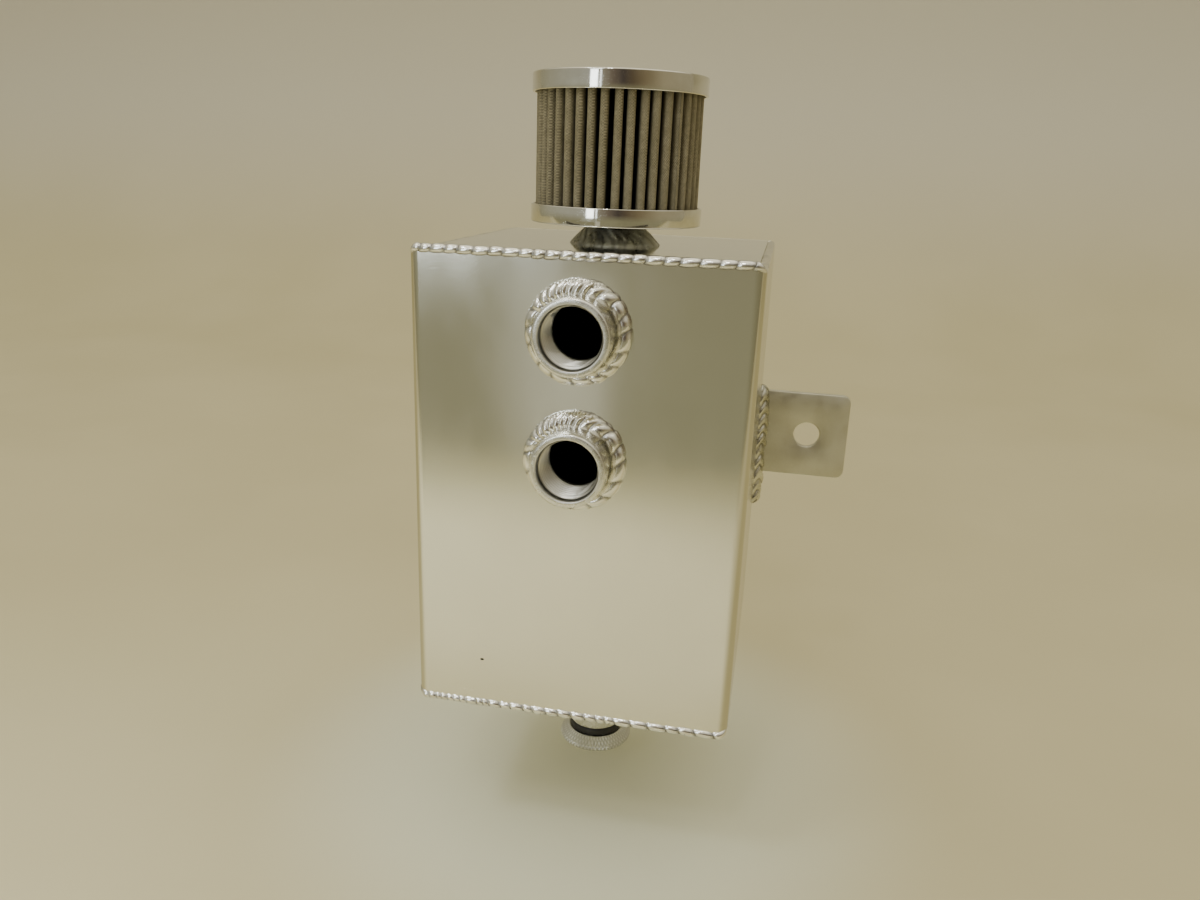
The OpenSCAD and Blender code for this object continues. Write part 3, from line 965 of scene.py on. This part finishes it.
def filter_media():
    """The folded element: uneven flat-topped pleats with round folds, leaning a little."""
    box = Box("filter_element")
    pleats = 40
    thick = 0.8
    tip_r = box.size.x / 2 - thick / 2
    root_r = 17.4
    tip_share, root_share = 0.205, 0.30
    rng = random.Random(17)
    slip = [rng.uniform(-0.05, 0.05) for _ in range(pleats)]
    fat = [rng.uniform(0.94, 1.08) for _ in range(pleats)]
    lean = [rng.uniform(-0.02, 0.14) for _ in range(pleats)]
    short = [rng.uniform(0, 0.35) for _ in range(pleats)]
    pinched = 36
    fat[pinched] = 0.4
    fold_steps = 3
    levels = 9
    pitch = TAU / pleats

    def outline(level):
        points = []
        for k in range(pleats):
            middle = (k + slip[k] + lean[k] * (level - 0.5)) * pitch
            r = tip_r - short[k]
            half = tip_share * pitch * fat[k]
            before = (k - 0.5 + (slip[k] + slip[k - 1]) / 2) * pitch
            after = (k + 0.5 + (slip[k] + slip[(k + 1) % pleats]) / 2) * pitch
            foot = (0.5 - root_share) * pitch
            points.append((root_r, before + foot, 0.5))
            points.append((r, middle - half, 0.75))
            points.append((r, middle + half, 0.75))
            points.append((root_r, after - foot, 0.5))
        return points

    def ribbon(level, grow):
        corners = [(r * math.cos(a), r * math.sin(a), bend) for r, a, bend in outline(level)]
        line = rounded(corners, fold_steps)
        out = []
        n = len(line)
        for k in range(n):
            along = (line[(k + 1) % n] - line[k - 1]).normalized()
            normal = Vector((along.y, -along.x))
            out.append(line[k] + normal * grow)
        return out

    z_lo, z_hi = box.lo.z, box.hi.z
    outer_rows, inner_rows = [], []
    for i in range(levels):
        level = i / (levels - 1)
        z = z_lo + (z_hi - z_lo) * level
        outer_rows.append([(p.x, p.y + AXIS_Y, z) for p in ribbon(level, thick / 2)])
        inner_rows.append([(p.x, p.y + AXIS_Y, z) for p in ribbon(level, -thick / 2)])
    rows = outer_rows + inner_rows[::-1]
    shape = Shape()
    shape.grid(rows, wrap_rows=True, wrap_cols=True)
    material = media_material(tip_r)
    shape.build("pleats", material, "breather_filter", ["filter_element"], sharp=60)


# ---------------------------------------------------------------- tabs


def mounting_tab(name, node, side):
    """A plate with round outer corners, a drilled hole and broken edges."""
    box = Box(node)
    hole_out, hole_r = 18, 4.8
    hole_x = side * (SIDE + hole_out)
    corner = 3.0
    lo_x, hi_x = (box.lo.x, box.hi.x)
    half_h = box.size.z / 2
    back, front = box.hi.y, box.lo.y
    count = 192

    def outside(x, z, r):
        """Signed distance to the outline with all four corners rounded by r."""
        dx = abs(x - (lo_x + hi_x) / 2) - (hi_x - lo_x) / 2 + r
        dz = abs(z) - half_h + r
        away = math.hypot(max(dx, 0), max(dz, 0))
        return away + min(max(dx, dz), 0) - r

    def edge(a):
        near, far = hole_r, 60.0
        for _ in range(34):
            middle = (near + far) / 2
            if outside(hole_x + middle * math.cos(a), middle * math.sin(a), corner) < 0:
                near = middle
            else:
                far = middle
        return near

    bevel = 0.45
    rows = []
    for i in range(count):
        a = TAU * i / count
        far = edge(a)
        section = [
            (hole_r + bevel, front),
            (hole_r + (far - hole_r) * 0.5, front),
            (far - bevel, front),
            (far - bevel * 0.3, front + bevel * 0.3),
            (far, front + bevel),
            (far, back - bevel),
            (far - bevel * 0.3, back - bevel * 0.3),
            (far - bevel, back),
            (hole_r + bevel, back),
            (hole_r + bevel * 0.3, back - bevel * 0.3),
            (hole_r, back - bevel),
            (hole_r, front + bevel),
            (hole_r + bevel * 0.3, front + bevel * 0.3),
        ]
        rows.append([(hole_x + r * math.cos(a), y, r * math.sin(a)) for r, y in section])
    shape = Shape()
    shape.grid(rows, wrap_rows=True, wrap_cols=True)
    shape.build(name, TAB_METAL, "tank", [node], sharp=40)


# ---------------------------------------------------------------- camera, floor and light


def make_camera():
    """The camera stands right of the tank's front, above it, looking down a little."""
    eye = Vector((54.6, -349.2, 96.1)) * MM
    forward = Vector((-0.1784, 0.9380, -0.2973))
    roll = math.radians(2.14)
    data = bpy.data.cameras.new("camera")
    data.sensor_width = 36
    data.lens = 27.8
    data.clip_start = 0.01
    camera = bpy.data.objects.new("camera", data)
    camera.location = eye
    camera.rotation_mode = "QUATERNION"
    camera.rotation_quaternion = forward.to_track_quat("-Z", "Y") @ Quaternion((0, 0, 1), roll)
    bpy.context.scene.collection.objects.link(camera)
    bpy.context.scene.camera = camera


def make_floor():
    """A sheet of pale paper that ends in front of the tank and sweeps up far behind it."""
    half_width = 2.4
    floor_z = FLOOR * MM
    front_edge = FRONT * MM - 0.40
    sweep_start = 0.62
    sweep_r = 0.45
    height = 1.4
    profile = [(front_edge, floor_z), (sweep_start, floor_z)]
    for i in range(1, 25):
        a = math.pi / 2 * i / 24
        profile.append((sweep_start + sweep_r * math.sin(a), floor_z + sweep_r * (1 - math.cos(a))))
    profile.append((sweep_start + sweep_r, floor_z + height))
    verts = [(x, y, z) for y, z in profile for x in (-half_width, half_width)]
    faces = [(2 * k, 2 * k + 1, 2 * k + 3, 2 * k + 2) for k in range(len(profile) - 1)]
    mesh = bpy.data.meshes.new("floor")
    mesh.from_pydata(verts, [], faces)
    mesh.shade_smooth()
    mesh.materials.append(paper_material())
    floor = bpy.data.objects.new("floor", mesh)
    bpy.context.scene.collection.objects.link(floor)


def area_light(name, location, target, size, power, color, spread=math.pi):
    data = bpy.data.lights.new(name, "AREA")
    data.shape = "RECTANGLE"
    data.size, data.size_y = size
    data.energy = power
    data.color = color
    data.spread = spread
    light = bpy.data.objects.new(name, data)
    light.location = location
    light.rotation_mode = "QUATERNION"
    light.rotation_quaternion = (Vector(target) - Vector(location)).to_track_quat("-Z", "Y")
    bpy.context.scene.collection.objects.link(light)


def make_room():
    """A dim warm room: darkest behind the camera, lighter at the far left, bright overhead."""
    world = bpy.data.worlds.new("room")
    world.use_nodes = True
    tree = world.node_tree
    link = tree.links.new

    def node(kind, inputs=None, **settings):
        made = tree.nodes.new(kind)
        for key, value in settings.items():
            setattr(made, key, value)
        for key, value in (inputs or {}).items():
            if isinstance(value, bpy.types.NodeSocket):
                link(value, made.inputs[key])
            else:
                made.inputs[key].default_value = value
        return made

    place = node("ShaderNodeTexCoord").outputs["Generated"]
    split = node("ShaderNodeSeparateXYZ", {0: place})
    back = node("ShaderNodeMath", {0: split.outputs[1], 1: -1.0}, operation="MULTIPLY").outputs[0]
    bearing = node("ShaderNodeMath", {0: split.outputs[0], 1: back}, operation="ARCTAN2").outputs[0]
    share = node("ShaderNodeMapRange", {0: bearing, 1: -math.pi, 2: math.pi, 3: 0.0, 4: 1.0}).outputs[0]
    ring = node("ShaderNodeValToRGB", {0: share})
    stops = [
        (-180, (0.42, 0.39, 0.27)),
        (-110, (0.34, 0.315, 0.21)),
        (-55, (0.45, 0.44, 0.36)),
        (-38, (0.44, 0.43, 0.36)),
        (-12, (0.28, 0.25, 0.19)),
        (0, (0.17, 0.135, 0.10)),
        (13, (0.075, 0.06, 0.05)),
        (26, (0.13, 0.098, 0.06)),
        (40, (0.21, 0.165, 0.095)),
        (66, (0.34, 0.29, 0.18)),
        (120, (0.40, 0.36, 0.24)),
        (180, (0.42, 0.39, 0.27)),
    ]
    elements = ring.color_ramp.elements
    while len(elements) < len(stops):
        elements.new(0.5)
    for element, (degrees, color) in zip(elements, stops):
        element.position = (degrees + 180) / 360
        element.color = (*color, 1)
    low = node("ShaderNodeMapRange", {0: split.outputs[2], 1: -0.12, 2: 0.0, 3: 0.0, 4: 1.0}).outputs[0]
    floor = (0.28, 0.26, 0.155, 1)
    floor_mix = node("ShaderNodeMix", {0: low, 6: floor, 7: ring.outputs[0]}, data_type="RGBA")
    high = node("ShaderNodeMapRange", {0: split.outputs[2], 1: 0.25, 2: 0.7, 3: 0.0, 4: 1.0}).outputs[0]
    ceiling = (0.85, 0.80, 0.64, 1)
    sky_mix = node("ShaderNodeMix", {0: high, 6: floor_mix.outputs[2], 7: ceiling}, data_type="RGBA")
    link(sky_mix.outputs[2], tree.nodes["Background"].inputs["Color"])
    tree.nodes["Background"].inputs["Strength"].default_value = 1.0
    bpy.context.scene.world = world


def make_light():
    """A warm ceiling light, a cool window with a mullion, a pale post and two small lamps."""
    face = Vector((0, FRONT, 30)) * MM
    area_light("ceiling_light", (0.0, 0.1, 1.5), (0, 0, 0), (2.0, 1.8), 6.2, (1.0, 0.93, 0.74))

    def far_light(name, bearing, rise, far, size, power, color):
        """A light at a bearing and rise, in degrees, seen from the tank's front wall."""
        a, e = math.radians(bearing), math.radians(rise)
        spot = face + far * Vector((math.sin(a), -math.cos(a), math.tan(e)))
        area_light(name, spot, (face.x, face.y, spot.z), size, power, color)

    daylight = (0.90, 0.97, 1.0)
    far_light("window_foot_right", -15.6, -4.6, 1.9, (0.07, 0.137), 0.007, daylight)
    far_light("window_foot_left", -26.6, -4.6, 1.9, (0.62, 0.137), 0.03, daylight)
    far_light("window_pane_right", -15.6, 6.9, 1.9, (0.07, 0.63), 0.3, daylight)
    far_light("window_pane_left", -24.5, 6.9, 1.9, (0.34, 0.63), 3.4, daylight)
    far_light("window_sky", -22, 31, 1.9, (0.6, 0.8), 2.4, daylight)
    far_light("window_sun", -19, 26, 1.9, (0.22, 0.24), 1.6, (1.0, 1.0, 0.98))
    far_light("pale_post", -13.6, -11.5, 1.2, (0.14, 0.27), 0.036, (1.0, 0.98, 0.88))
    area_light("lamp", (-0.1, -0.75, 1.0), (0, -0.05, 0), (0.12, 0.12), 1.1, (1.0, 0.98, 0.95))
    area_light("paper_light", (-0.5, -0.55, 1.0), (-0.17, -0.33, -0.11), (0.25, 0.25), 0.3, daylight, 0.6)


seam_bead("top_seam_bead", "top_seam_weld", 3, up=True)
seam_bead("bottom_seam_bead", "bottom_seam_weld", 4, up=False)
port_bung("upper_port", "upper_port_bung", "upper_port_weld")
port_bung("lower_port", "lower_port_bung", "lower_port_weld")
breather_seat()
drain_outlet()
drain_plug()
drain_seal()
filter_stem()
filter_cap("base_cap", "filter_base_cap", top=False)
filter_cap("top_cap", "filter_top_cap", top=True)
filter_media()
mounting_tab("right_tab", "right_mounting_tab", 1)
mounting_tab("left_tab", "left_mounting_tab", -1)
tab_bead("right_tab_bead", "right_tab_weld", 11, 1)
tab_bead("left_tab_bead", "left_tab_weld", 12, -1)

carried_over = {
    "tank_body": TANK_METAL,
    "top_plate": PLATE_METAL,
    "bottom_plate": PLATE_METAL,
    "splash_baffle": TAB_METAL,
    "baffle_tack_welds": TAB_BEAD,
    "breather_washer": RUBBER,
    "filter_core_tube": STEEL,
    "lower_potting_ring": POTTING,
    "upper_potting_ring": POTTING,
}
for node_name, node_material in carried_over.items():
    node_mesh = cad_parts[node_name].data
    node_mesh.materials.clear()
    node_mesh.materials.append(node_material)

make_camera()
make_floor()
make_room()
make_light()
